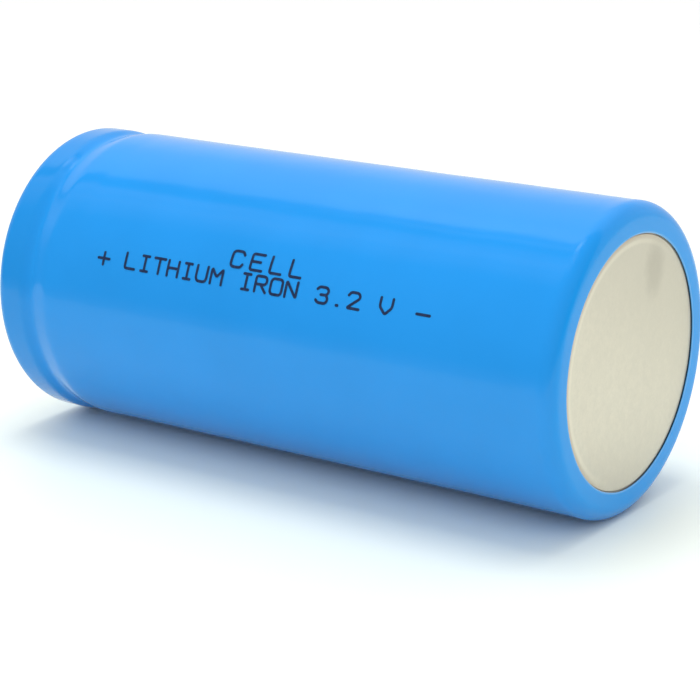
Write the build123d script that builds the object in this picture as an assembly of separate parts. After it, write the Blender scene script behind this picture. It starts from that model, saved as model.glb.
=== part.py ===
from build123d import *
import math
import os

# Cylindrical lithium iron phosphate cell of the 32 x 70 size, lying on its side.
# Every piece is drawn standing on its negative end, in millimetres: x and y across the cell, z the
# station above the plane of the negative end. At the end each piece is laid down, so that the
# negative end faces +X, +Z is up, and the origin is on the axis at half length.

# ---- Driving dimensions: case ----
cell_length = 70.8
cell_radius = 16.1
sleeve_wall = 0.12
sleeve_lip = 0.25
sleeve_corner = 1.65
sleeve_crimp_corner = 1.3
film_fold = 0.15
film_rim = 0.08
film_dip = 0.45
film_dip_stations = (63.8, 65.3, 66.5)
film_dip_bends = (1.5, 1.2, 1.5)
lip_radius = 13.0
can_sheet = 0.40
can_corner = 1.5
contact_recess = 0.20
pad_radius = 12.85
groove_start = 63.7
groove_slope = 1.2
groove_shelf = 66.2
groove_depth = 1.5
groove_bends = [1.0, 0.8, 0.5, 0.6]
crimp_station = 70.25
crimp_corner = 1.1
crimp_lip_radius = 13.3

# ---- Closure ----
washer_thickness = 0.20
washer_inner_radius = 12.4
washer_outer_radius = 14.8
gasket_wall = 0.55
gasket_floor = 0.90
gasket_lip_radius = 12.8
gasket_floor_radius = 12.9
vent_sheet = 0.45
vent_dish_radius = 4.6
vent_slope = 2.8
vent_dish_depth = 1.225
score_radius = 3.6
score_depth = 0.2
cap_sheet = 0.65
cap_top_radius = 8.0
cap_foot_radius = 9.2
cap_bends = [0.5, 0.9]
cap_windows = 4
window_width = 3.4
window_height = 1.1
ring_thickness = 0.50
ring_inner_radius = 8.6
ring_outer_radius = 12.8
plate_sheet = 0.50
plate_radius = 12.1
plate_depth = 1.25
plate_boss_radius = 2.6
plate_bends = [0.4, 0.9, 0.9, 0.4]
plate_holes = 6
plate_hole_radius = 0.9
plate_hole_circle = 6.1

# ---- Winding: layers of one turn, from the inside out ----
core_radius = 2.0
film = 0.06
foil = 0.06
negative_layer = 0.14
positive_layer = 0.15
turns = 16.0
winding_bottom = 1.30
winding_top = 62.50
negative_inset = 0.80
positive_inset = 1.60

# ---- Insulating discs, tabs and tapes ----
disc_thickness = 0.30
disc_radius = 15.0
slot_length = 7.4
tab_width = 6.0
tab_sheet = 0.08
tab_bend = 0.4
tab_overrun = 4.0
tab_return = 9.6
tab_weld = 6.0
tab_grip = 12.0
tape_sheet = 0.06
tab_gap = 0.4
positive_tab_turns = [4.25, 7.625, 11.875]
negative_tab_turns = [5.75, 9.125, 13.375]

# ---- Derived sizes ----
can_radius = cell_radius - sleeve_wall
can_bore = can_radius - can_sheet
fold_station = crimp_station + washer_thickness
lid_floor = groove_shelf + can_sheet
lid_radius = can_bore - gasket_wall
vent_floor = lid_floor + gasket_floor
cap_floor = vent_floor + vent_sheet
lid_top = cap_floor + cap_sheet + vent_sheet
plate_rim = vent_floor - ring_thickness - plate_sheet
plate_floor = plate_rim - plate_depth
can_floor = contact_recess + can_sheet
pitch = 2 * film + 2 * foil + 2 * negative_layer + 2 * positive_layer
half_pitch = pitch / 2
negative_depth = film
negative_foil_depth = negative_depth + negative_layer
outer_film_depth = negative_foil_depth + foil + negative_layer
positive_depth = outer_film_depth + film
positive_foil_depth = positive_depth + positive_layer


# ---- Ways of making a piece ----
def profile_point(point):
    """A radius and a station as a point of the plane that is turned round the cell's axis."""
    return Vector(point[0], 0, point[1])


def turned(outline, radii):
    """Solid of revolution from a closed outline of (radius, station) corners with rounded corners."""
    edge = FilletPolyline(*[profile_point(p) for p in outline], radius=radii, close=True)
    return revolve(make_face(edge.edges()), Axis.Z, 360)


def left_side(path, thickness):
    """Corners of the line that runs beside a path, a sheet's thickness to its left."""
    beside = []
    for i, (x, z) in enumerate(path):
        before = path[max(i - 1, 0)]
        after = path[min(i + 1, len(path) - 1)]
        if i == 0:
            before = (2 * x - after[0], 2 * z - after[1])
        if i == len(path) - 1:
            after = (2 * x - before[0], 2 * z - before[1])
        heading_in = math.atan2(z - before[1], x - before[0])
        heading_out = math.atan2(after[1] - z, after[0] - x)
        half_turn = math.remainder(heading_out - heading_in, 2 * math.pi) / 2
        across = heading_in + half_turn + math.pi / 2
        reach = thickness / math.cos(half_turn)
        beside.append((x + reach * math.cos(across), z + reach * math.sin(across)))
    return beside


def turns_left(path, i):
    """Whether a path turns left at its corner i."""
    (ax, az), (bx, bz), (cx, cz) = path[i - 1], path[i], path[i + 1]
    return (bx - ax) * (cz - bz) - (bz - az) * (cx - bx) > 0


def sheet_face(path, radii, thickness):
    """Cross-section of bent sheet on the left of a path, its bends concentric on both faces."""
    beside = left_side(path, thickness)
    far_radii = []
    for i, radius in enumerate(radii, start=1):
        change = -thickness if turns_left(path, i) else thickness
        sharp = radius == 0
        far_radii.append(0 if sharp else max(radius + change, 0))
    corners = [profile_point(p) for p in path + beside[::-1]]
    all_radii = [0] + radii + [0, 0] + far_radii[::-1] + [0]
    return make_face(FilletPolyline(*corners, radius=all_radii, close=True).edges())


def pressed_sheet(path, radii, thickness):
    """A round piece pressed from sheet metal."""
    return revolve(sheet_face(path, radii, thickness), Axis.Z, 360)


def ring(inner, outer, bottom, height):
    """A flat ring or, with no inner radius, a disc."""
    blank = Pos(0, 0, bottom + height / 2) * Cylinder(outer, height)
    if inner == 0:
        return blank
    return blank - Pos(0, 0, bottom + height / 2) * Cylinder(inner, 2 * height)


def around(count, radius, bottom, piece, first_angle=0.0):
    """Copies of a piece set out evenly on a circle."""
    places = [Rot(0, 0, first_angle + 360 * k / count) * Pos(radius, 0, bottom) for k in range(count)]
    return [place * piece for place in places]


# ---- Case ----
def make_sleeve():
    """Shrink film: tight on the wall, bridging the groove, folded in over both ends."""
    low, middle, high = film_dip_stations
    inside = [
        (lip_radius, sleeve_lip),
        (can_radius, sleeve_lip),
        (can_radius, low),
        (can_radius - film_dip, middle),
        (can_radius, high),
        (can_radius, fold_station),
        (lip_radius, fold_station),
    ]
    outside = [
        (lip_radius, fold_station + film_fold),
        (cell_radius, fold_station + film_fold),
        (cell_radius, high),
        (cell_radius - film_dip, middle),
        (cell_radius, low),
        (cell_radius, 0),
        (lip_radius, 0),
    ]
    inside_radii = [0, can_corner, *film_dip_bends, sleeve_crimp_corner - 0.1, 0]
    outside_radii = [film_rim, sleeve_crimp_corner, *film_dip_bends[::-1], sleeve_corner, film_rim]
    return turned(inside + outside, inside_radii + outside_radii)


def make_can():
    """Drawn steel cup with a contact pad, a rolled groove and a crimped rim."""
    groove_root = can_radius - groove_depth
    path = [
        (0, contact_recess),
        (pad_radius, contact_recess),
        (pad_radius + 0.1, sleeve_lip),
        (can_radius, sleeve_lip),
        (can_radius, groove_start),
        (groove_root, groove_start + groove_slope),
        (groove_root, groove_shelf),
        (can_radius, groove_shelf),
        (can_radius, crimp_station),
        (crimp_lip_radius, crimp_station),
    ]
    return pressed_sheet(path, [0, 0, can_corner, *groove_bends, crimp_corner], can_sheet)


def make_insulating_washer():
    """Fibre ring between the crimped rim and the film's fold."""
    return ring(washer_inner_radius, washer_outer_radius, crimp_station, washer_thickness)


# ---- Closure ----
def make_gasket():
    """Sealing ring of C section, squeezed between the can and the lid's rim."""
    top = crimp_station - can_sheet
    outline = [
        (gasket_floor_radius, lid_floor),
        (can_bore, lid_floor),
        (can_bore, top),
        (gasket_lip_radius, top),
        (gasket_lip_radius, lid_top),
        (lid_radius, lid_top),
        (lid_radius, vent_floor),
        (gasket_floor_radius, vent_floor),
    ]
    shelf_bend = groove_bends[-1] - can_sheet
    return turned(outline, [0, shelf_bend, crimp_corner - can_sheet, 0.1, 0, vent_sheet, vent_sheet, 0])


def make_terminal_cap():
    """Hat-shaped positive contact with vent windows in its side."""
    path = [
        (0, cell_length - cap_sheet),
        (cap_top_radius, cell_length - cap_sheet),
        (cap_foot_radius, cap_floor),
        (lid_radius - vent_sheet, cap_floor),
    ]
    cap = pressed_sheet(path, cap_bends, cap_sheet)
    window = Box(4.0, window_width, window_height)
    window_station = cap_floor + cap_sheet + 0.1 + window_height / 2
    return cap - around(cap_windows, cap_foot_radius, window_station, window, 45)


def make_vent_disc():
    """Dished safety disc with a scored ring, its rim folded over the cap's flange."""
    dish = vent_floor - vent_dish_depth
    path = [
        (0, dish),
        (vent_dish_radius, dish),
        (vent_dish_radius + vent_slope, vent_floor),
        (lid_radius, vent_floor),
        (lid_radius, lid_top),
        (gasket_floor_radius, lid_top),
    ]
    disc = pressed_sheet(path, [1.0, 0.6, vent_sheet, vent_sheet], vent_sheet)
    score_outline = [
        (score_radius - score_depth, dish - 0.1),
        (score_radius + score_depth, dish - 0.1),
        (score_radius, dish + score_depth),
    ]
    return disc - turned(score_outline, [0, 0, 0])


def make_vent_insulator_ring():
    """Plastic ring that holds the contact plate under the vent disc, clear of its rim."""
    outline = [
        (ring_inner_radius, vent_floor),
        (ring_inner_radius, vent_floor - ring_thickness),
        (plate_radius, vent_floor - ring_thickness),
        (plate_radius, plate_rim),
        (ring_outer_radius, plate_rim),
        (ring_outer_radius, vent_floor),
    ]
    return turned(outline, [0] * len(outline))


def make_contact_plate():
    """Perforated dish whose raised middle meets the vent disc."""
    boss = vent_floor - vent_dish_depth - plate_sheet
    path = [
        (0, boss),
        (plate_boss_radius, boss),
        (plate_boss_radius + 1.0, plate_floor),
        (plate_radius - 3.7, plate_floor),
        (plate_radius - 2.2, plate_rim),
        (plate_radius, plate_rim),
    ]
    plate = pressed_sheet(path, plate_bends, plate_sheet)
    hole = Cylinder(plate_hole_radius, 3 * plate_sheet)
    return plate - around(plate_holes, plate_hole_circle, plate_floor + plate_sheet / 2, hole)


# ---- Winding ----
# The strips follow a spiral of half circles about two centres, half a pitch apart, so each layer is
# a true arc that lies on the one before it. A turn number counts from the first film's start.
def half_centre(half):
    """Place across the cell of the centre that half turn number half is drawn about."""
    return -half_pitch / 2 if half % 2 == 0 else half_pitch / 2


def half_radius(half, depth):
    """Radius of a layer's face on half turn number half, depth being its place in the pitch."""
    return core_radius + half * half_pitch + depth


def wound_strip(depth, thickness, first_turn, last_turn, bottom, top):
    """Strip that fills one layer of the spiral between two turn numbers and two stations."""
    first_half = math.floor(2 * first_turn + 1e-9)
    last_half = math.ceil(2 * last_turn - 1e-9)
    edges = []
    ends = []
    for face_depth in (depth, depth + thickness):
        arcs = []
        for half in range(first_half, last_half):
            start = max(half / 2, first_turn)
            finish = min((half + 1) / 2, last_turn)
            centre = (half_centre(half), 0)
            radius = half_radius(half, face_depth)
            arcs.append(CenterArc(centre, radius, 360 * start, 360 * (finish - start)))
        ends.append((arcs[0] @ 0, arcs[-1] @ 1))
        edges.extend(arcs)
    edges.append(Line(ends[0][0], ends[1][0]))
    edges.append(Line(ends[0][1], ends[1][1]))
    return Pos(0, 0, bottom) * extrude(make_face(edges), top - bottom)


def tab_place(turn, foil_depth):
    """Radius, angle and centre of the spot on a foil's outer face where a tab is welded."""
    half = math.floor(2 * turn)
    return half_radius(half, foil_depth + foil), 360 * turn, half_centre(half)


def coated_spans(first_turn, last_turn, tab_turns, foil_depth):
    """Stretches of a coating's outer layer, which is left off where the tabs are welded."""
    spans = []
    start = first_turn
    for turn in tab_turns:
        radius = tab_place(turn, foil_depth)[0]
        bare = math.asin((tab_width / 2 + tab_gap) / radius) / (2 * math.pi)
        spans.append((start, turn - bare))
        start = turn + bare
    spans.append((start, last_turn))
    return spans


def make_electrode(depth, layer, first_turn, last_turn, inset, tab_turns):
    """A foil and the coatings on its inner and outer faces, as three pieces."""
    bottom = winding_bottom + inset
    top = winding_top - inset
    foil_depth = depth + layer
    metal = wound_strip(foil_depth, foil, first_turn, last_turn, bottom, top)
    inner = wound_strip(depth, layer, first_turn, last_turn, bottom, top)
    spans = coated_spans(first_turn, last_turn, tab_turns, foil_depth)
    outer = [wound_strip(foil_depth + foil, layer, start, end, bottom, top) for start, end in spans]
    return metal, inner, Compound(outer)


# ---- Tabs ----
def placed_on_foil(piece, turn, foil_depth):
    """A piece drawn on the x side of the axis, moved to a tab's place in the winding."""
    _, angle, centre = tab_place(turn, foil_depth)
    return Pos(centre, 0, 0) * Rot(0, 0, angle) * piece


def curved_strip(path, width):
    """Sheet turned round the axis and trimmed to a strip of even width on the x side."""
    reach = path[0][0] + 1
    trim = Pos(reach / 2, 0, winding_top / 2) * Box(reach, width, 2 * cell_length)
    return revolve(sheet_face(path, [tab_bend], tab_sheet), Axis.Z, 360) & trim


def flat_strip(path, radii):
    """Flat strip of a tab's width, bent along a path in the x and z plane."""
    return extrude(sheet_face(path, radii, tab_sheet), tab_width / 2, both=True)


def make_positive_tab(number):
    """Aluminium strip: up from the foil, across the winding, and folded back under the plate."""
    turn = positive_tab_turns[number]
    radius = tab_place(turn, positive_foil_depth)[0] + tab_sheet
    low = winding_top + disc_thickness + 0.58 + 0.2 * number
    high = plate_floor - tab_sheet * (number + 1)
    start = winding_top - positive_inset - tab_grip
    riser = curved_strip([(radius, start), (radius, low), (1.0, low)], tab_width)
    fold = flat_strip([(3.0, low), (-tab_return, low), (-tab_return, high), (tab_weld, high)], [0.5, 0.5])
    return placed_on_foil(riser + fold, turn, positive_foil_depth)


def make_negative_tab(number):
    """Nickel strip: down from the foil, and across to its weld on the can's floor."""
    turn = negative_tab_turns[number]
    radius = tab_place(turn, negative_foil_depth)[0]
    low = can_floor + tab_sheet * (number + 1)
    start = winding_bottom + negative_inset + tab_grip
    drop = curved_strip([(radius, start), (radius, low), (1.0, low)], tab_width)
    tongue = flat_strip([(3.0, low), (-tab_overrun, low)], [])
    return placed_on_foil(drop + tongue, turn, negative_foil_depth)


def make_tape(turn, foil_depth, bottom, top):
    """Tape wrapped once round a tab where it leaves the winding."""
    radius = tab_place(turn, foil_depth)[0]
    wrap = ring(radius - tape_sheet, radius + tab_sheet + tape_sheet, bottom, top - bottom)
    tab = ring(radius, radius + tab_sheet, bottom, top - bottom)
    side = Pos(radius / 2 + 1, 0, (bottom + top) / 2)
    width = tab_width + 2 * tape_sheet
    wrap = wrap & side * Box(radius + 2, width, 2 * (top - bottom))
    tab = tab & side * Box(radius + 4, tab_width, 4 * (top - bottom))
    return placed_on_foil(wrap - tab, turn, foil_depth)


# ---- Insulating discs ----
def make_slotted_disc(bottom, tab_turns, foil_depth):
    """Insulating disc with a middle hole and one slot for each tab."""
    disc = ring(core_radius, disc_radius, bottom, disc_thickness)
    for turn in tab_turns:
        radius = tab_place(turn, foil_depth)[0]
        sagitta = radius - math.sqrt(radius**2 - (tab_width / 2) ** 2)
        inner = radius - sagitta - 0.5
        outer = radius + 0.5
        slot = Pos((inner + outer) / 2, 0, bottom) * Box(outer - inner, slot_length, 3 * disc_thickness)
        disc = disc - placed_on_foil(slot, turn, foil_depth)
    return disc


def make_upper_insulator():
    """Disc over the winding, with filling holes near its rim."""
    disc = make_slotted_disc(winding_top + 0.1, positive_tab_turns, positive_foil_depth)
    hole = Cylinder(0.8, 3 * disc_thickness)
    return disc - around(8, 13.6, winding_top + 0.1, hole, 22.5)


def make_lower_insulator():
    """Disc between the winding and the negative tabs."""
    bottom = winding_bottom - disc_thickness - 0.15
    return make_slotted_disc(bottom, negative_tab_turns, negative_foil_depth)


def make_winding_nodes():
    """All strips of the winding, by name."""
    positive = make_electrode(
        positive_depth, positive_layer, 1.0, turns - 1.5, positive_inset, positive_tab_turns
    )
    negative = make_electrode(
        negative_depth, negative_layer, 0.5, turns - 0.5, negative_inset, negative_tab_turns
    )
    tape_inset = 5.0
    return {
        "positive_foil": positive[0],
        "positive_coating_inner": positive[1],
        "positive_coating_outer": positive[2],
        "negative_foil": negative[0],
        "negative_coating_inner": negative[1],
        "negative_coating_outer": negative[2],
        "inner_separator": wound_strip(0, film, 0, turns, winding_bottom, winding_top),
        "outer_separator": wound_strip(outer_film_depth, film, 0, turns, winding_bottom, winding_top),
        "closing_tape": wound_strip(
            positive_depth,
            tape_sheet,
            turns - 0.4,
            turns + 0.06,
            winding_bottom + tape_inset,
            winding_top - tape_inset,
        ),
    }


def make_tab_nodes():
    """Each tab by name, and the tapes round them as one group for each end."""
    nodes = {}
    for k in range(len(positive_tab_turns)):
        nodes[f"positive_tab_{k + 1}"] = make_positive_tab(k)
    for k in range(len(negative_tab_turns)):
        nodes[f"negative_tab_{k + 1}"] = make_negative_tab(k)
    upper = (winding_top - positive_inset + 0.1, winding_top + 0.35)
    lower = (winding_bottom - 0.1, winding_bottom + negative_inset - 0.1)
    upper_tapes = [make_tape(turn, positive_foil_depth, *upper) for turn in positive_tab_turns]
    lower_tapes = [make_tape(turn, negative_foil_depth, *lower) for turn in negative_tab_turns]
    nodes["positive_tab_tapes"] = Compound(upper_tapes)
    nodes["negative_tab_tapes"] = Compound(lower_tapes)
    return nodes


nodes = {
    "sleeve": make_sleeve(),
    "can": make_can(),
    "insulating_washer": make_insulating_washer(),
    "gasket": make_gasket(),
    "terminal_cap": make_terminal_cap(),
    "vent_disc": make_vent_disc(),
    "vent_insulator_ring": make_vent_insulator_ring(),
    "contact_plate": make_contact_plate(),
    "upper_insulator": make_upper_insulator(),
    "lower_insulator": make_lower_insulator(),
}
nodes.update(make_winding_nodes())
nodes.update(make_tab_nodes())

# ---- Lay the cell down and write one file for each piece ----
lay_down = Location((cell_length / 2, 0, 0), (0, -90, 0))
os.makedirs("parts", exist_ok=True)
for name, piece in nodes.items():
    export_step(lay_down * piece, f"parts/{name}.step")
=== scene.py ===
"""Looks of a cylindrical cell in blue shrink film: film, print, case, closure, winding and a lit table."""

import math

import bpy
import numpy as np
from bpy.props import FloatProperty, FloatVectorProperty, IntProperty, PointerProperty, StringProperty
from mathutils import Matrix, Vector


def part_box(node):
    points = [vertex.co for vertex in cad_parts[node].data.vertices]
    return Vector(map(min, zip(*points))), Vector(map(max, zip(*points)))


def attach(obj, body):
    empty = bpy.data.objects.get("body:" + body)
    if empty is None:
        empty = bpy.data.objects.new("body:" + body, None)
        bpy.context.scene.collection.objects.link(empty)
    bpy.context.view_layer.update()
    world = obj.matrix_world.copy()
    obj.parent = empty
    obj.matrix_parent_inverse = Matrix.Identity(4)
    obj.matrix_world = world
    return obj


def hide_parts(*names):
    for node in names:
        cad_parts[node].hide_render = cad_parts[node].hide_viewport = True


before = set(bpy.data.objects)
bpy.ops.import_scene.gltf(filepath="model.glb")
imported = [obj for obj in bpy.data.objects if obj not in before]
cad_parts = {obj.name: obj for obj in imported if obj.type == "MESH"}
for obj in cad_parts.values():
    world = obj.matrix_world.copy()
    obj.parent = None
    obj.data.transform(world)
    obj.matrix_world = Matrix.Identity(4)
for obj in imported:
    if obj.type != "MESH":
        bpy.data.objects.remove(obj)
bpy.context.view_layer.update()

bl_info = {
    "name": "Cylindrical cell",
    "version": (1, 0, 0),
    "blender": (4, 5, 0),
    "location": "3D View > Sidebar > Cell",
    "description": "Wraps, prints, finishes and lights a cylindrical battery cell",
    "category": "Object",
}

sleeve_low, sleeve_high = (np.array(corner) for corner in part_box("sleeve"))
cell_radius = float(sleeve_high[2])
negative_plane = float(sleeve_high[0])
film_length = float(sleeve_high[0] - sleeve_low[0])


# ---- Sizes and colours that a user would change ----
def length(name, description, default):
    """A size in metres with a label."""
    return FloatProperty(name=name, description=description, default=default, unit="LENGTH", precision=5)


def angle(name, description, degrees):
    """An angle, given here in degrees."""
    return FloatProperty(name=name, description=description, default=math.radians(degrees), unit="ROTATION")


def colour(name, description, default):
    """A linear colour with a swatch."""
    return FloatVectorProperty(
        name=name, description=description, default=default, subtype="COLOR", min=0.0, max=1.0
    )


def amount(name, description, default):
    """A plain number."""
    return FloatProperty(name=name, description=description, default=default, precision=3)


class FilmSettings(bpy.types.PropertyGroup):
    """Shape and colour of the shrink film."""

    wall: length("Wall", "Thickness of the film on the can", 0.00012)
    lip_height: length("Lip height", "Thickness of the fold over the negative end", 0.00025)
    fold_height: length("Fold height", "Thickness of the fold over the positive end", 0.00015)
    lip_radius: length("Lip radius", "Radius of the opening at both ends", 0.013)
    corner: length("Corner", "Outer corner radius at the negative end", 0.00165)
    crimp_corner: length("Crimp corner", "Outer corner radius at the positive end", 0.0013)
    dip: length("Dip", "Depth of the film where it bridges the groove", 0.00050)
    dip_start: length("Dip start", "Station where the film leaves the wall", 0.0634)
    dip_middle: length("Dip middle", "Station of the deepest point of the dip", 0.06572)
    dip_end: length("Dip end", "Station where the film meets the wall again", 0.06682)
    waviness: length("Waviness", "Most that the film lies below a true cylinder", 0.00005)
    blue: colour("Blue", "Dye of the film", (0.018, 0.280, 0.745))
    # Painted light: a lighter blue on the film's end faces, standing in for the light that falls on them.
    end_face_painted_light: colour("Fold blue", "Doubled film where it is folded over the ends", (0.004, 0.33, 0.87))
    # Painted highlight: a pale band along the cut edge of the fold, standing in for the highlight on its
    # rounded rim.
    edge_painted_highlight: colour("Edge blue", "Cut edge of the fold", (0.22, 0.52, 0.88))
    # Painted shadow: a dark line at the foot of the cut edge, where the fold stands above the bare pad.
    gap_painted_shadow: colour("Gap shade", "Foot of the cut edge, next to the bare pad", (0.010, 0.030, 0.070))
    segments: IntProperty(name="Segments", description="Facets round the cell", default=336)


class PrintSettings(bpy.types.PropertyGroup):
    """The ink print on the film."""

    words: StringProperty(name="Words", description="Letters of the long row", default="LITHIUM IRON 3.2 V")
    short_word: StringProperty(name="Short word", description="Letters of the short row", default="CELL")
    letter_height: length("Letter height", "Height of the long row's letters", 0.00190)
    letter_width: length("Letter width", "Width of the long row's letters", 0.00172)
    pitch: length("Pitch", "Distance from one letter of the long row to the next", 0.00191)
    short_height: length("Short letter height", "Height of the short row's letters", 0.00200)
    short_width: length("Short letter width", "Width of the short row's letters", 0.00185)
    short_pitch: length("Short pitch", "Distance from one letter of the short row to the next", 0.0025)
    sign_width: length("Sign width", "Length of the plus and minus signs' level bars", 0.0015)
    sign_height: length("Sign height", "Height of the plus sign's upright bar", 0.00130)
    stroke: length("Stroke", "Width of a stroke", 0.00029)
    ink_lift: length("Ink lift", "Height of the ink above the film's true radius", 0.000010)
    ink_layer: length("Ink layer", "Step that keeps crossing strokes apart", 0.000002)
    row_start: length("Row start", "Station of the long row's first letter", 0.0527)
    row_height: length("Row height", "Arc from the side of the cell up to the long row", 0.00532)
    short_start: length("Short row start", "Station of the short row's first letter", 0.0392)
    short_arc: length("Short row height", "Arc from the side of the cell up to the short row", 0.00742)
    plus_station: length("Plus station", "Station of the plus sign's middle", 0.05555)
    minus_station: length("Minus station", "Station of the minus sign's middle", 0.0150)
    ink: colour("Ink", "Colour of the print", (0.014, 0.030, 0.085))
    thin_ink: colour("Thin ink", "Colour of the print where the ink is thin", (0.03, 0.07, 0.20))


class CaseSettings(bpy.types.PropertyGroup):
    """Colours of the steel case and the closure."""

    nickel: colour("Nickel", "Nickel plate on the can and the cap", (0.723, 0.670, 0.567))
    stain: colour("Stain", "Warm stain round the bare pad's edge", (0.50, 0.38, 0.28))
    smudge_place: FloatVectorProperty(
        name="Smudge", description="Y and Z of the smudge on the pad", default=(0.0043, 0.0088), size=2
    )
    aluminium: colour("Aluminium", "Vent disc, contact plate and positive tabs", (0.78, 0.79, 0.80))
    washer: colour("Washer", "Fibre washer", (0.78, 0.76, 0.70))
    fleck: colour("Fleck", "Dark flecks in the fibre", (0.45, 0.38, 0.28))
    gasket: colour("Gasket", "Sealing ring", (0.80, 0.80, 0.78))
    insulator: colour("Insulator", "Plastic discs and ring", (0.70, 0.72, 0.70))


class WindingSettings(bpy.types.PropertyGroup):
    """Colours of the winding."""

    foil: colour("Foil", "Positive collector", (0.82, 0.83, 0.84))
    copper: colour("Copper", "Negative collector", (0.80, 0.42, 0.28))
    positive_layer: colour("Positive layer", "Active layer on the positive foil", (0.035, 0.035, 0.040))
    negative_layer: colour("Negative layer", "Active layer on the negative foil", (0.050, 0.050, 0.055))
    separator: colour("Separator", "Porous film", (0.86, 0.86, 0.86))
    tab: colour("Nickel strip", "Negative tabs", (0.68, 0.66, 0.61))
    amber: colour("Amber tape", "Tape round the tabs", (0.62, 0.33, 0.06))
    green: colour("Green tape", "Tape that closes the winding", (0.10, 0.38, 0.20))


class StageSettings(bpy.types.PropertyGroup):
    """Table, light and camera."""

    table: colour("Table", "Colour of the table", (0.89, 0.945, 0.885))
    table_front: length("Table front", "Place of the table's front edge", -0.085)
    table_reach: length("Table reach", "Distance from the cell to the table's other edges", 0.48)
    sky_front: amount("Front sky", "Light from the camera's side", 1.10)
    sky_back: amount("Back sky", "Light from behind the cell", 0.50)
    softbox: amount("Softbox", "Power of the softbox overhead, in watts", 3.3)
    ceiling: amount("Ceiling lamp", "Power of the small lamp overhead, in watts", 1.32)
    gloss: amount("Gloss", "Brightness of the studio in reflections", 0.72)
    room: amount("Room", "Brightness of the dark side of the studio in reflections", 0.02)
    azimuth: angle("Azimuth", "Camera's turn round the cell", 35.023)
    elevation: angle("Elevation", "Camera's height above the horizon", 15.931)
    place: FloatVectorProperty(
        name="Camera",
        description="Camera's place",
        default=(0.135707, -0.191788, 0.062652),
        subtype="TRANSLATION",
    )
    lens: FloatProperty(name="Lens", description="Focal length", default=116.467, unit="CAMERA")


# ---- Shader maths ----
class Wire:
    """One socket in a node tree; sums and products of values add Math nodes to that tree."""

    def __init__(self, tree, socket=None):
        self.tree = tree
        self.socket = socket

    def node(self, kind, settings=None, inputs=None, output=0):
        """A node of this kind: its settings first, then the values or wires of its sockets."""
        made = self.tree.nodes.new("ShaderNode" + kind)
        for name, value in (settings or {}).items():
            setattr(made, name, value)
        for name, value in (inputs or {}).items():
            if isinstance(value, Wire):
                self.tree.links.new(value.socket, made.inputs[name])
            else:
                made.inputs[name].default_value = value
        return Wire(self.tree, made.outputs[output])

    def maths(self, operation, first, second):
        """A Math node on two values."""
        return self.node("Math", {"operation": operation}, {0: first, 1: second})

    def __add__(self, other):
        return self.maths("ADD", self, other)

    def __sub__(self, other):
        return self.maths("SUBTRACT", self, other)

    def __rsub__(self, other):
        return self.maths("SUBTRACT", other, self)

    def __mul__(self, other):
        return self.maths("MULTIPLY", self, other)

    __radd__ = __add__
    __rmul__ = __mul__

    def __pow__(self, other):
        return self.maths("POWER", self, other)

    def axis(self, name):
        """One of a vector's three values."""
        return self.node("SeparateXYZ", None, {0: self}, "XYZ".index(name))

    def step(self, low, high):
        """0 below low, 1 above high, and a smooth rise between; low above high gives a fall."""
        return self.node(
            "MapRange",
            {"interpolation_type": "SMOOTHSTEP"},
            {"Value": self, "From Min": min(low, high), "From Max": max(low, high),
             "To Min": float(low > high), "To Max": float(low < high)},
        )

    def noise(self, scale, detail=2.0, roughness=0.5, stretch=(1.0, 1.0, 1.0), shift=(0.0, 0.0, 0.0)):
        """Noise from 0 to 1 over this vector; scale is in cycles a metre."""
        place = self.node("Mapping", None, {0: self, "Location": shift, "Scale": stretch})
        inputs = {"Vector": place, "Scale": scale, "Detail": detail, "Roughness": roughness}
        return self.node("TexNoise", None, inputs)

    def tint(self, first, second):
        """The first colour where this value is 0, the second where it is 1."""
        colours = {6: with_alpha(first), 7: with_alpha(second)}
        return self.node("Mix", {"data_type": "RGBA"}, {0: self, **colours}, 2)

    def relief(self, distance, strength, below=None):
        """A bump of this height pattern, in metres, on top of another."""
        inputs = {"Height": self, "Distance": distance, "Strength": strength}
        if below:
            inputs["Normal"] = below
        return self.node("Bump", None, inputs)


def with_alpha(shade):
    """A colour as four numbers; a wire stays as it is."""
    return shade if isinstance(shade, Wire) else (*shade, 1.0)


def scaled(shade, factor):
    """A colour made lighter or darker."""
    return tuple(min(1.0, channel * factor) for channel in shade)


def material(name, **sockets):
    """A material and the wire of its object coordinates; sockets are the shader's constant values."""
    made = bpy.data.materials.new(name)
    made.use_nodes = True
    shader = made.node_tree.nodes["Principled BSDF"]
    for socket, value in sockets.items():
        shader.inputs[socket.replace("_", " ")].default_value = value
    return made, Wire(made.node_tree).node("TexCoord", None, None, 3)


def paint(made, **wires):
    """Feed the shader's varying sockets."""
    shader = made.node_tree.nodes["Principled BSDF"]
    for socket, wire in wires.items():
        made.node_tree.links.new(wire.socket, shader.inputs[socket.replace("_", " ")])
    return made


def dress(nodes, made):
    """Give CAD nodes this material."""
    for name in nodes:
        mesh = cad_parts[name].data
        mesh.materials.clear()
        mesh.materials.append(made)


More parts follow.
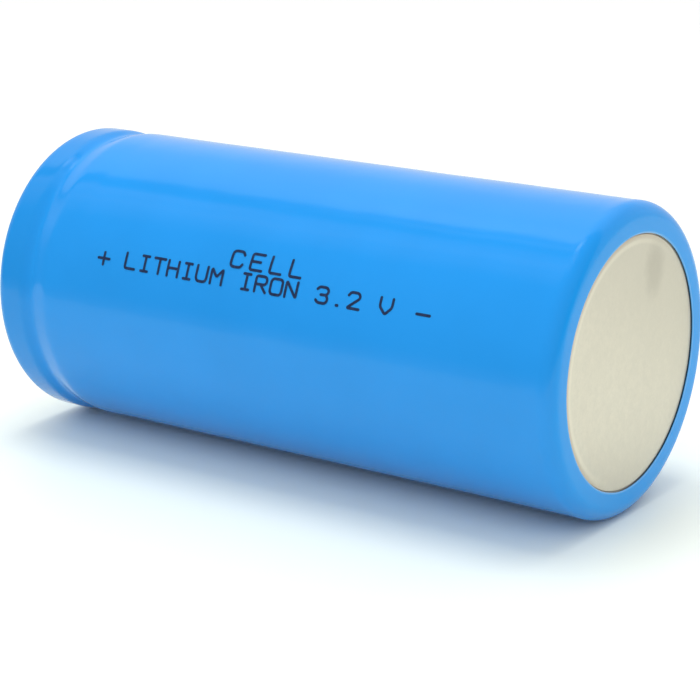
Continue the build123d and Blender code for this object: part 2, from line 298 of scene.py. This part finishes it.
# ---- Meshes ----
def rounded(corners):
    """A closed outline of (radius, station) points from corners with a rounding and a span.

    Each corner of half angle h is cut back by r / tan h along both sides, and the arc between runs about a
    centre r / sin h along the bisector, in steps of at most arc_step radians. The straight after a corner is
    divided equally, into as many stretches as its span fits in whole.
    """
    arc_step = 0.14
    points = np.array([corner[:2] for corner in corners])
    radii, spans = np.array([corner[2:] for corner in corners]).T
    back = np.roll(points, 1, axis=0) - points
    ahead = np.roll(points, -1, axis=0) - points
    back /= np.linalg.norm(back, axis=1, keepdims=True)
    ahead /= np.linalg.norm(ahead, axis=1, keepdims=True)
    half = 0.5 * np.arccos(np.clip((back * ahead).sum(axis=1), -1, 1))
    turns = math.pi - 2 * half
    starts = points + back * (radii / np.tan(half))[:, None]
    ends = points + ahead * (radii / np.tan(half))[:, None]
    middle = back + ahead
    middle /= np.linalg.norm(middle, axis=1, keepdims=True)
    centres = points + middle * (radii / np.sin(half))[:, None]
    pieces = []
    for k, turn in enumerate(turns):
        if radii[k] > 0:
            t = np.linspace(0, 1, 2 + int(turn / arc_step))[:, None]
            first, last = starts[k] - centres[k], ends[k] - centres[k]
            arc = first * np.sin((1 - t) * turn) + last * np.sin(t * turn)
            pieces.append(centres[k] + arc / np.sin(turn))
        else:
            pieces.append(starts[k][None])
        straight = np.roll(starts, -1, axis=0)[k] - ends[k]
        count = max(1, int(np.linalg.norm(straight) / spans[k]))
        pieces.append(ends[k] + straight * (np.arange(1, count) / count)[:, None])
    return np.vstack(pieces)


def swell(x, low, high):
    """Smooth rise from 0 at low to 1 at high."""
    t = np.clip((x - low) / (high - low), 0, 1)
    return t * t * (3 - 2 * t)


# Waves of the wall: share, count round the cell, phase gained for each metre of station, phase
wall_waves = (
    (0.30, 2, 150, 0.4),
    (0.25, 3, -260, 2.1),
    (0.20, 5, 430, 1.2),
    (0.15, 7, -610, 4.0),
    (0.10, 4, 900, 3.1),
)
# Shallow rings in the wall: station, depth, half width, share that varies, count round the cell, phase
shrink_rings = (
    (0.0601, 0.000016, 0.0008, 0.5, 2, 0.6),
    (0.0027, 0.000014, 0.0005, 0.4, 3, 1.9),
)
# Waves of the cut edges: share, count round the cell, phase
edge_waves = ((0.5, 3, 0.7), (0.3, 8, 2.0), (0.2, 17, 1.1))
# Most that the cut edge wanders, at the negative and at the positive end
lip_wander, fold_wander = 0.00004, 0.00009
# Distances from the cut edge between which that fades out
edge_band = (0.0002, 0.0012)
# Stations where the wall's waves, and the puckers of the dip, fade in and out
wave_fade = (0.001, 0.004, 0.059, 0.0625)
pucker_fade = (0.0630, 0.0648, 0.0652, 0.0662)
pucker_depth = 0.00004
# A point this near to a face of the film's wall counts as on that face
face_margin = 0.00002


def between(x, fade):
    """Smooth rise over the first two of four values, and smooth fall over the last two."""
    return swell(x, *fade[:2]) * swell(-x, -fade[3], -fade[2])


def film_surface(sizes):
    """Closed skin of the film as a grid of outline points by angles.

    The outline is turned about the X axis: x = plane - station, y = -r cos(a), z = r sin(a). The outer wall
    lies below its true radius by a sum of long sine waves in station and angle and by two shallow rings, the
    dip has small puckers, and the edges of both folds wander by a few hundredths of a millimetre.
    """
    inner = cell_radius - sizes.wall
    top = film_length
    fine, coarse = 0.00040, 0.0040
    corners = [
        (sizes.lip_radius, 0, 0.00010, fine),
        (cell_radius, 0, sizes.corner, fine),
        (cell_radius, sizes.dip_start, 0.0035, fine),
        (cell_radius - sizes.dip, sizes.dip_middle, 0.0013, fine),
        (cell_radius, sizes.dip_end, 0.0018, fine),
        (cell_radius, top, sizes.crimp_corner, fine),
        (sizes.lip_radius, top, 0.00006, fine),
        (sizes.lip_radius, top - sizes.fold_height, 0, coarse),
        (inner, top - sizes.fold_height, sizes.crimp_corner - 0.0001, coarse),
        (inner, sizes.dip_end, 0.0003, coarse),
        (inner - sizes.dip, sizes.dip_middle, 0.0011, coarse),
        (inner, sizes.dip_start, 0.0035, coarse),
        (inner, sizes.lip_height, sizes.corner - 0.00015, coarse),
        (sizes.lip_radius, sizes.lip_height, 0, coarse),
    ]
    outline = rounded(corners)
    turn = np.linspace(0, 2 * math.pi, sizes.segments, endpoint=False)
    r, s = (outline[:, [k]] + 0 * turn for k in (0, 1))
    a = turn[None, :] + 0 * r
    swing = sum(share * np.sin(count * a + slope * s + phase) for share, count, slope, phase in wall_waves)
    on_skin = swell(r, inner + face_margin, cell_radius - face_margin)
    on_wall = on_skin * between(s, wave_fade)
    rings = 0
    for station, depth, width, share, count, phase in shrink_rings:
        bell = depth * np.exp(-(((s - station) / width) ** 2))
        rings = rings + bell * (1 + share * np.sin(count * a + phase))
    r = r - sizes.waviness * (0.5 + 0.5 * swing) * on_wall - rings * on_skin
    puckers = 0.5 + 0.5 * np.sin(9 * a + 1.3) * np.sin(4 * a + 0.2)
    r = r - pucker_depth * puckers * between(s, pucker_fade)
    ragged = sum(share * np.sin(count * a + phase) for share, count, phase in edge_waves)
    near_edge = 1 - swell(r - sizes.lip_radius, *edge_band)
    r = r + near_edge * ragged * np.where(s < 0.5 * top, lip_wander, fold_wander)
    return np.stack([negative_plane - s, -r * np.cos(a), r * np.sin(a)], axis=2)


def grid_faces(rows, columns, wrap_rows=True, wrap_columns=True):
    """Quads of a grid of points numbered row by row; either way round can close on itself."""
    i = np.arange(rows if wrap_rows else rows - 1)[:, None]
    j = np.arange(columns if wrap_columns else columns - 1)[None, :]
    here, below = i * columns, (i + 1) % rows * columns
    beside = (j + 1) % columns
    return np.stack([here + j, below + j, below + beside, here + beside], axis=2).reshape(-1, 4)


def piece(name, points, faces, made):
    """A smooth mesh object that rides on the cell's body."""
    mesh = bpy.data.meshes.new(name)
    mesh.from_pydata(points.reshape(-1, 3).tolist(), [], faces.tolist())
    mesh.materials.append(made)
    mesh.polygons.foreach_set("use_smooth", np.ones(len(mesh.polygons), dtype=bool))
    mesh.update()
    made_object = bpy.data.objects.new(name, mesh)
    bpy.context.scene.collection.objects.link(made_object)
    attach(made_object, "root")
    return made_object


# ---- Letters: strokes on a box 1 wide and 1 high, rounded at their inner corners ----
corner_rounding = 0.16
letters = {
    "C": [[(0.95, 0.80), (0.80, 1.0), (0.15, 1.0), (0, 0.85), (0, 0.15), (0.15, 0), (0.80, 0), (0.95, 0.20)]],
    "E": [[(0.95, 1), (0, 1), (0, 0), (0.95, 0)], [(0, 0.52), (0.75, 0.52)]],
    "H": [[(0, 0), (0, 1)], [(0.95, 0), (0.95, 1)], [(0, 0.52), (0.95, 0.52)]],
    "I": [[(0.5, 0), (0.5, 1)], [(0.2, 0), (0.8, 0)], [(0.2, 1), (0.8, 1)]],
    "L": [[(0, 1), (0, 0), (0.9, 0)]],
    "M": [[(0, 0), (0, 1), (0.5, 0.45), (1, 1), (1, 0)]],
    "N": [[(0, 0), (0, 1), (0.95, 0), (0.95, 1)]],
    "O": [[(0.5, 0), (0.85, 0), (1, 0.15), (1, 0.85), (0.85, 1),
           (0.15, 1), (0, 0.85), (0, 0.15), (0.15, 0), (0.5, 0)]],
    "R": [[(0, 0), (0, 1), (0.8, 1), (0.95, 0.85), (0.95, 0.62), (0.8, 0.48), (0, 0.48)],
          [(0.45, 0.48), (0.95, 0)]],
    "T": [[(0, 1), (1, 1)], [(0.5, 1), (0.5, 0)]],
    "U": [[(0, 1), (0, 0.18), (0.18, 0), (0.78, 0), (0.95, 0.18), (0.95, 1)]],
    "V": [[(0, 1), (0, 0.45), (0.5, 0), (1, 0.45), (1, 1)]],
    "2": [[(0, 0.80), (0.18, 1), (0.78, 1), (0.95, 0.84), (0.95, 0.66), (0, 0), (1, 0)]],
    "3": [[(0, 0.85), (0.18, 1), (0.78, 1), (0.95, 0.84), (0.95, 0.66), (0.78, 0.52), (0.35, 0.52)],
          [(0.78, 0.52), (0.95, 0.36), (0.95, 0.16), (0.78, 0), (0.18, 0), (0, 0.15)]],
    ".": [[(0.45, 0.03), (0.55, 0.03)]],
}


def stroke_points(path, corner):
    """A stroke's points: each inner corner of the path becomes a parabola, tangent to both of its sides."""
    p = np.array(path, dtype=float)
    if len(p) < 3:
        return p
    before, at, after = p[:-2], p[1:-1], p[2:]
    cut_in = np.minimum(0.45, corner / np.linalg.norm(before - at, axis=1))[:, None]
    cut_out = np.minimum(0.45, corner / np.linalg.norm(after - at, axis=1))[:, None]
    a, b = at + (before - at) * cut_in, at + (after - at) * cut_out
    t = np.linspace(0, 1, 6)[None, :, None]
    arcs = (1 - t) ** 2 * a[:, None] + 2 * t * (1 - t) * at[:, None] + t**2 * b[:, None]
    return np.vstack([p[:1], arcs.reshape(-1, 2), p[-1:]])


def ribbon(path, width, lift):
    """One pen stroke laid on the film, with round ends.

    The path's points are spaced out evenly, moved half a width to each side, square to the path, and
    wrapped: x = plane - station, angle = arc / radius, radius = cell radius + lift. Extra rows at both ends
    follow a half circle: the half width is h sin q where the row is h cos q beyond the end.
    """
    gaps = np.linalg.norm(np.diff(path, axis=0), axis=1)
    path = path[np.concatenate([[True], gaps > 1e-7])]
    run = np.concatenate([[0], np.cumsum(np.linalg.norm(np.diff(path, axis=0), axis=1))])
    count = max(4, int(run[-1] / (0.35 * width)) + 2)
    even = np.unique(np.concatenate([np.linspace(0, run[-1], count), run]))
    line = np.stack([np.interp(even, run, path[:, k]) for k in (0, 1)], axis=1)
    way = np.gradient(line, axis=0)
    way /= np.linalg.norm(way, axis=1, keepdims=True)
    half = 0.5 * width
    swing = np.linspace(0.05, 0.5 * math.pi, 6)[:-1]
    head = line[0] - way[0] * half * np.cos(swing)[:, None]
    tail = line[-1] + way[-1] * half * np.cos(swing[::-1])[:, None]
    spine = np.vstack([head, line, tail])
    reach = np.concatenate([half * np.sin(swing), np.full(len(line), half), half * np.sin(swing[::-1])])
    ways = np.vstack([np.tile(way[0], (len(head), 1)), way, np.tile(way[-1], (len(tail), 1))])
    across = np.stack([-ways[:, 1], ways[:, 0]], axis=1) * reach[:, None]
    flat = spine[:, None, :] + across[:, None, :] * np.array([-1.0, 0.0, 1.0])[None, :, None]
    station, turn = flat[..., 0], flat[..., 1] / cell_radius
    r = cell_radius + lift
    return np.stack([negative_plane - station, -r * np.cos(turn), r * np.sin(turn)], axis=2)


def row_of_letters(words, start, arc, height, width, pitch, stroke):
    """Strokes of a row: letters run towards the negative end, one pitch apart, standing up the wall."""
    strokes = []
    for place, letter in enumerate(words):
        for path in letters.get(letter, []):
            p = stroke_points(path, corner_rounding)
            station = start - place * pitch - 0.5 * stroke - p[:, 0] * (width - stroke)
            up = arc + 0.5 * stroke + p[:, 1] * (height - stroke)
            strokes.append(np.stack([station, up], axis=1))
    return strokes


def bar(station, arc, along, up):
    """A straight stroke centred on a place."""
    return np.array([[station + 0.5 * along, arc - 0.5 * up], [station - 0.5 * along, arc + 0.5 * up]])


# ---- Finishes ----
def off_axis(at):
    """Distance from the cell's axis."""
    return (at.axis("Y") ** 2 + at.axis("Z") ** 2) ** 0.5


def film_finish(sizes):
    """Dyed film: clouds in the blue, darker over the collar, painted light on the end faces, a painted
    highlight along the cut edge with a painted shadow at its foot, marks in the gloss, and ripples.
    """
    made, at = material("shrink_film", IOR=1.36)
    cloud = at.noise(70, 3)
    haze = at.noise(420, 4, 0.6, shift=(0.3, 0.1, 0.2))
    marks = at.noise(900, 5, 0.65, stretch=(0.15, 1.0, 1.0)).step(0.60, 0.76)
    across = off_axis(at)
    fold = across.step(cell_radius - 0.0004, cell_radius - 0.0016)
    cut_edge = across.step(sizes.lip_radius + 0.00022, sizes.lip_radius + 0.00010)
    gap = cut_edge * at.axis("X").step(negative_plane - 0.00007, negative_plane - 0.00012)
    collar = at.axis("X").step(negative_plane - 0.0655, negative_plane - 0.0672)
    film_colour = cloud.step(0.3, 0.7).tint(scaled(sizes.blue, 0.975), scaled(sizes.blue, 1.025))
    # Darker film over the collar at the positive end.
    film_colour = collar.tint(film_colour, scaled(sizes.blue, 0.91))
    # Painted light: the end faces are tinted lighter for the light that falls on them.
    film_colour = (fold * 0.85).tint(film_colour, sizes.end_face_painted_light)
    # Painted highlight along the cut edge of the fold.
    film_colour = (cut_edge * 0.55).tint(film_colour, sizes.edge_painted_highlight)
    # Painted shadow at the foot of the cut edge, next to the pad.
    film_colour = (gap * 0.92).tint(film_colour, sizes.gap_painted_shadow)
    rough = 0.100 + haze * 0.05 + marks * 0.06 + fold * 0.03
    ripple = at.noise(190, 1, 0.4).relief(0.00006, 0.7)
    ripple = at.noise(700, 3, 0.6, stretch=(0.12, 1.0, 1.0)).relief(0.00003, 0.3, ripple)
    ripple = at.noise(1500, 2).relief(0.0000025, 0.6, ripple)
    return paint(made, Base_Color=film_colour, Roughness=rough, Normal=ripple)


def ink_finish(sizes):
    """Dried ink: thin in places, a little glossy."""
    made, at = material("print_ink", IOR=1.4)
    thin = at.noise(2600, 3, 0.6).step(0.45, 0.75)
    tone = (thin * 0.35).tint(sizes.ink, sizes.thin_ink)
    return paint(made, Base_Color=tone, Roughness=0.30 + thin * 0.15)


def nickel_finish(shades):
    """Drawn nickel-plated steel: mottled grain, drawing lines, painted shade towards the top, the +Y side and
    the bottom, and on the pad a smudge, a warm stain and a painted highlight just inside its edge.
    """
    made, at = material("nickel_plated_steel", Metallic=1.0)
    shade = shades.nickel
    grain = at.noise(2300, 4, 0.7)
    mottle = at.noise(800, 4, 0.65, shift=(0.1, 0.5, 0.0))
    cloud = at.noise(120, 2, shift=(0.4, 0.2, 0.1))
    lines = at.noise(900, 3, 0.6, stretch=(0.06, 1.0, 1.0))
    across = off_axis(at)
    side = (at.axis("Z") * 0.55 - at.axis("Y")).step(-0.004, 0.008) * (0.6 + at.noise(260, 2) * 0.6)
    rim_light = across.step(0.01180, 0.01215) * across.step(0.01250, 0.01225) * side * 0.5
    stain = across.step(0.01235, 0.01275) * side * 0.55
    # Painted shade: darker towards the top, the +Y side and the bottom, standing in for how light falls
    # across the pad.
    upper = (at.axis("Z") * 0.8 + at.axis("Y") * 0.6 + cloud * 0.006).step(-0.004, 0.016)
    lower = (cloud * 0.004 - at.axis("Z")).step(0.006, 0.015)
    painted_shade = upper + lower * 0.6
    smudge_y, smudge_z = (at.axis(name) - place for name, place in zip("YZ", shades.smudge_place))
    spread = (smudge_y * smudge_y * 2.2 + smudge_z * smudge_z) ** 0.5 + mottle * 0.002
    smudge = spread.step(0.0050, 0.0020) * 0.42
    plate = mottle.step(0.32, 0.68).tint(scaled(shade, 0.97), scaled(shade, 1.03))
    plate = (grain.step(0.35, 0.70) * 0.25).tint(plate, scaled(shade, 0.86))
    # Painted shade over the plate.
    plate = (painted_shade * 0.75).tint(plate, scaled(shade, 0.83))
    plate = smudge.tint(plate, scaled(shade, 0.68))
    plate = rim_light.tint(plate, scaled(shade, 1.15))
    plate = stain.tint(plate, shades.stain)
    rough = 0.34 + mottle * 0.12 + grain * 0.08 + smudge * 0.10
    relief = grain.relief(0.00002, 0.35)
    relief = lines.relief(0.00001, 0.3, relief)
    return paint(made, Base_Color=plate, Roughness=rough, Normal=relief)


def sheet_metal_finish(name, shade, rough):
    """Rolled sheet or foil: long rolling lines and a faint mottle."""
    made, at = material(name, Metallic=1.0)
    lines = at.noise(1800, 3, 0.6, stretch=(0.04, 1.0, 1.0))
    mottle = at.noise(600, 3)
    tone = mottle.step(0.3, 0.7).tint(scaled(shade, 0.92), scaled(shade, 1.03))
    return paint(made, Base_Color=tone, Roughness=rough + lines * 0.12, Normal=lines.relief(0.000008, 0.4))


def powder_finish(name, shade):
    """Rolled powder layer: fine matt grain with faint rolling bands."""
    made, at = material(name, IOR=1.45)
    grain = at.noise(5200, 4, 0.7)
    bands = at.noise(300, 2, stretch=(1.0, 0.2, 0.2))
    tone = (grain * 0.6 + bands * 0.4).step(0.35, 0.65).tint(scaled(shade, 0.75), scaled(shade, 1.30))
    return paint(made, Base_Color=tone, Roughness=0.62 + grain * 0.18, Normal=grain.relief(0.00001, 0.6))


def plastic_finish(name, shade, rough, grain_size=900):
    """Moulded plastic or film: slight clouds and a fine skin."""
    made, at = material(name, IOR=1.5)
    cloud = at.noise(150, 3)
    skin = at.noise(grain_size, 3)
    tone = cloud.step(0.3, 0.7).tint(scaled(shade, 0.95), scaled(shade, 1.03))
    return paint(made, Base_Color=tone, Roughness=rough + skin * 0.10, Normal=skin.relief(0.00001, 0.4))


def fibre_finish(shade, fleck):
    """Pressed fibre: short fibres lying every way, with darker flecks."""
    made, at = material("washer_fibre", IOR=1.45)
    level = at.noise(1500, 4, 0.7, stretch=(1.0, 0.3, 1.0))
    upright = at.noise(1500, 4, 0.7, stretch=(1.0, 1.0, 0.3))
    fibres = level * 0.5 + upright * 0.5
    flecks = at.noise(3500, 2).step(0.62, 0.75)
    tone = fibres.step(0.35, 0.65).tint(scaled(shade, 0.88), scaled(shade, 1.05))
    tone = (flecks * 0.4).tint(tone, fleck)
    return paint(made, Base_Color=tone, Roughness=0.78 + fibres * 0.1, Normal=fibres.relief(0.00003, 0.6))


def table_finish(shade, reach):
    """White table top: even, satin, with a barely visible grain, fading out towards its far edges."""
    made, at = material("table_top", IOR=1.4)
    grain = at.noise(300, 3)
    away = (at.axis("X") ** 2 + at.axis("Y") ** 2) ** 0.5
    tone = grain.tint(scaled(shade, 0.995), shade)
    fade = away.step(0.95 * reach, 0.30 * reach)
    return paint(made, Base_Color=tone, Roughness=0.42 + grain * 0.04, Alpha=fade)


# ---- Operators ----
class CELL_OT_wrap_film(bpy.types.Operator):
    """Wrap the can in shrink film"""

    bl_idname = "cell.wrap_film"
    bl_label = "Wrap the film"

    def execute(self, context):
        sizes = context.scene.cell_film
        points = film_surface(sizes)
        faces = grid_faces(*points.shape[:2])[:, ::-1]
        film = piece("sleeve_film", points, faces, film_finish(sizes))
        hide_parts("sleeve")
        dress(["sleeve"], film.data.materials[0])
        return {"FINISHED"}


class CELL_OT_print_rows(bpy.types.Operator):
    """Print the polarity signs and the rows of letters on the film"""

    bl_idname = "cell.print_rows"
    bl_label = "Print the film"

    def execute(self, context):
        sizes = context.scene.cell_print
        long_row = (sizes.row_start, sizes.row_height, sizes.letter_height, sizes.letter_width, sizes.pitch)
        short_row = (
            sizes.short_start, sizes.short_arc, sizes.short_height, sizes.short_width, sizes.short_pitch
        )
        strokes = row_of_letters(sizes.words, *long_row, sizes.stroke)
        strokes += row_of_letters(sizes.short_word, *short_row, sizes.stroke)
        middle = sizes.row_height + 0.40 * sizes.letter_height
        strokes += [
            bar(sizes.plus_station, middle, sizes.sign_width, 0),
            bar(sizes.plus_station, middle, 0, sizes.sign_height),
            bar(sizes.minus_station, middle, sizes.sign_width, 0),
        ]
        points, faces, count = [], [], 0
        for place, path in enumerate(strokes):
            grid = ribbon(path, sizes.stroke, sizes.ink_lift + sizes.ink_layer * (place % 3))
            points.append(grid.reshape(-1, 3))
            faces.append(grid_faces(*grid.shape[:2], False, False) + count)
            count += len(points[-1])
        if not points:
            raise RuntimeError("There is nothing to print")
        piece("print", np.vstack(points), np.vstack(faces), ink_finish(sizes))
        return {"FINISHED"}


class CELL_OT_finish_case(bpy.types.Operator):
    """Finish the can, the cap and the closure's other pieces"""

    bl_idname = "cell.finish_case"
    bl_label = "Finish the case"

    def execute(self, context):
        shades = context.scene.cell_case
        dress(["can", "terminal_cap"], nickel_finish(shades))
        dress(["vent_disc", "contact_plate", "positive_tab_1", "positive_tab_2", "positive_tab_3"],
              sheet_metal_finish("aluminium_sheet", shades.aluminium, 0.28))
        dress(["insulating_washer"], fibre_finish(shades.washer, shades.fleck))
        dress(["gasket"], plastic_finish("gasket_plastic", shades.gasket, 0.38))
        dress(["vent_insulator_ring", "upper_insulator", "lower_insulator"],
              plastic_finish("insulator_plastic", shades.insulator, 0.45))
        return {"FINISHED"}


class CELL_OT_finish_winding(bpy.types.Operator):
    """Finish the foils, layers, separators, tabs and tapes"""

    bl_idname = "cell.finish_winding"
    bl_label = "Finish the winding"

    def execute(self, context):
        shades = context.scene.cell_winding
        dress(["positive_foil"], sheet_metal_finish("aluminium_foil", shades.foil, 0.22))
        dress(["negative_foil"], sheet_metal_finish("copper_foil", shades.copper, 0.26))
        dress(["positive_coating_inner", "positive_coating_outer"],
              powder_finish("positive_active_layer", shades.positive_layer))
        dress(["negative_coating_inner", "negative_coating_outer"],
              powder_finish("negative_active_layer", shades.negative_layer))
        dress(["inner_separator", "outer_separator"],
              plastic_finish("separator_film", shades.separator, 0.50, 4000))
        dress(["negative_tab_1", "negative_tab_2", "negative_tab_3"],
              sheet_metal_finish("nickel_strip", shades.tab, 0.32))
        dress(["positive_tab_tapes", "negative_tab_tapes"], plastic_finish("amber_tape", shades.amber, 0.20))
        dress(["closing_tape"], plastic_finish("green_tape", shades.green, 0.22))
        return {"FINISHED"}


# ---- Stage ----
# Lamps: name, size, place, tilt in degrees, setting that holds the power
lamps = (
    ("softbox", (1.28, 0.96), (-0.19, 0.45, 0.80), -28, "softbox"),
    ("ceiling_lamp", (0.30, 0.30), (-0.05, 0.02, 0.60), 0, "ceiling"),
)


def lay_table(scene, stage):
    """A flat grid at the height of the cell's lowest line."""
    cuts = 11
    half = stage.table_reach
    along, deep = np.linspace(-half, half, cuts), np.linspace(stage.table_front, half, cuts)
    x, y = np.meshgrid(along, deep, indexing="ij")
    points = np.stack([x, y, np.full_like(x, sleeve_low[2])], axis=2)
    mesh = bpy.data.meshes.new("table")
    mesh.from_pydata(points.reshape(-1, 3).tolist(), [], grid_faces(cuts, cuts, False, False).tolist())
    mesh.materials.append(table_finish(stage.table, half))
    table = bpy.data.objects.new("table", mesh)
    scene.collection.objects.link(table)


def hang_lamps(scene, stage):
    """Area lamps over the cell, which light it and don't show as sharp shapes in its gloss."""
    for name, size, place, tilt, power in lamps:
        lamp = bpy.data.lights.new(name, "AREA")
        lamp.shape, lamp.size, lamp.size_y, lamp.energy = "RECTANGLE", *size, getattr(stage, power)
        light = bpy.data.objects.new(name, lamp)
        light.location = place
        light.rotation_euler = (math.radians(tilt), 0.0, 0.0)
        light.visible_glossy = False
        scene.collection.objects.link(light)


def paint_studio(scene, stage):
    """Studio walls by direction: white to the eye, soft from all sides as light, and shaped in reflections.

    In reflections the room is dark, with a large panel behind the cell, a brighter rim and a thin sliver
    near the panel's edge, a fringe with wisps on this side of it, a glow low in front, and a small bright
    spark overhead.
    """
    world = bpy.data.worlds.new("studio")
    world.use_nodes = True
    scene.world = world
    tree = world.node_tree
    tree.nodes.clear()
    sky = Wire(tree)
    way = sky.node("TexCoord", None, None, 0)
    side, back, up = way.axis("X"), way.axis("Y"), way.axis("Z")

    edge = (back - (side + 0.49) * 0.28).step(0.115, 0.185)
    near = side.step(-0.60, -0.52) * side.step(-0.25, -0.38)
    rim = near * back.step(0.40, 0.16) * 0.45
    panel = edge * (stage.gloss + up.step(0.55, 0.80) * 0.22 + up.step(0.58, 0.38) * 0.10 + rim)
    sliver = near * back.step(0.02, 0.06) * back.step(0.10, 0.06) * 0.65
    wisps = way.noise(1.0, 3, 0.6, stretch=(3.0, 40.0, 3.0), shift=(0.7, 0.2, 0.4)).step(0.40, 0.60)
    in_front = back.step(-0.45, -0.20) * back.step(-0.015, -0.075) * side.step(0.3, -0.1)
    fringe = in_front * (0.30 + wisps * 0.6)
    glow = back.step(-0.50, -0.70) * up.step(0.0, -0.26) * 0.62
    spark = side.step(-0.45, -0.33) * side.step(0.0, -0.15)
    spark = spark * back.step(-0.05, 0.03) * back.step(0.22, 0.10) * 2.4
    mirrored = stage.room + panel + sliver + fringe + glow + spark

    spread = stage.sky_front + back.step(-0.7, 0.7) * (stage.sky_back - stage.sky_front)
    spread = spread * (0.86 + up.step(0.0, 0.5) * 0.20)
    seen = sky.node("LightPath", None, None, "Is Camera Ray")
    glossy = sky.node("LightPath", None, None, "Is Glossy Ray")
    light = spread + glossy * (mirrored - spread)
    light = light + seen * (1.0 - light)
    shade = sky.node("CombineColor", None, {0: light, 1: light, 2: light})
    background = sky.node("Background", None, {"Color": shade, "Strength": 1.0})
    output = tree.nodes.new("ShaderNodeOutputWorld")
    tree.links.new(background.socket, output.inputs["Surface"])


def place_camera(scene, stage):
    """The camera, level from side to side."""
    lens = bpy.data.cameras.new("camera")
    lens.lens, lens.sensor_width, lens.clip_start, lens.clip_end = stage.lens, 36.0, 0.01, 20.0
    camera = bpy.data.objects.new("camera", lens)
    camera.location = stage.place
    camera.rotation_euler = (0.5 * math.pi - stage.elevation, 0.0, stage.azimuth)
    scene.collection.objects.link(camera)
    scene.camera = camera


class CELL_OT_set_stage(bpy.types.Operator):
    """Set the table, the studio light and the camera"""

    bl_idname = "cell.set_stage"
    bl_label = "Set the stage"

    def execute(self, context):
        for step in (lay_table, hang_lamps, paint_studio, place_camera):
            step(context.scene, context.scene.cell_stage)
        context.scene.view_settings.view_transform = "Standard"
        return {"FINISHED"}


class CELL_PT_panel(bpy.types.Panel):
    """Steps and settings of the cell"""

    bl_idname = "CELL_PT_panel"
    bl_label = "Cell"
    bl_space_type = "VIEW_3D"
    bl_region_type = "UI"
    bl_category = "Cell"

    def draw(self, context):
        for operator, group in steps:
            box = self.layout.box()
            box.operator(operator.bl_idname)
            settings = getattr(context.scene, group)
            for name in settings.bl_rna.properties.keys():
                if name not in ("rna_type", "name"):
                    box.prop(settings, name)


steps = (
    (CELL_OT_wrap_film, "cell_film"),
    (CELL_OT_print_rows, "cell_print"),
    (CELL_OT_finish_case, "cell_case"),
    (CELL_OT_finish_winding, "cell_winding"),
    (CELL_OT_set_stage, "cell_stage"),
)
groups = {
    "cell_film": FilmSettings,
    "cell_print": PrintSettings,
    "cell_case": CaseSettings,
    "cell_winding": WindingSettings,
    "cell_stage": StageSettings,
}


def register():
    """Register the settings, operators and panel."""
    for name, group in groups.items():
        bpy.utils.register_class(group)
        setattr(bpy.types.Scene, name, PointerProperty(type=group))
    for operator, _ in steps:
        bpy.utils.register_class(operator)
    bpy.utils.register_class(CELL_PT_panel)


def unregister():
    """Take back what register added."""
    bpy.utils.unregister_class(CELL_PT_panel)
    for operator, _ in reversed(steps):
        bpy.utils.unregister_class(operator)
    for name, group in groups.items():
        delattr(bpy.types.Scene, name)
        bpy.utils.unregister_class(group)


def main():
    """Run every step in order."""
    register()
    bpy.ops.cell.wrap_film()
    bpy.ops.cell.print_rows()
    bpy.ops.cell.finish_case()
    bpy.ops.cell.finish_winding()
    bpy.ops.cell.set_stage()


if __name__ == "__main__":
    main()
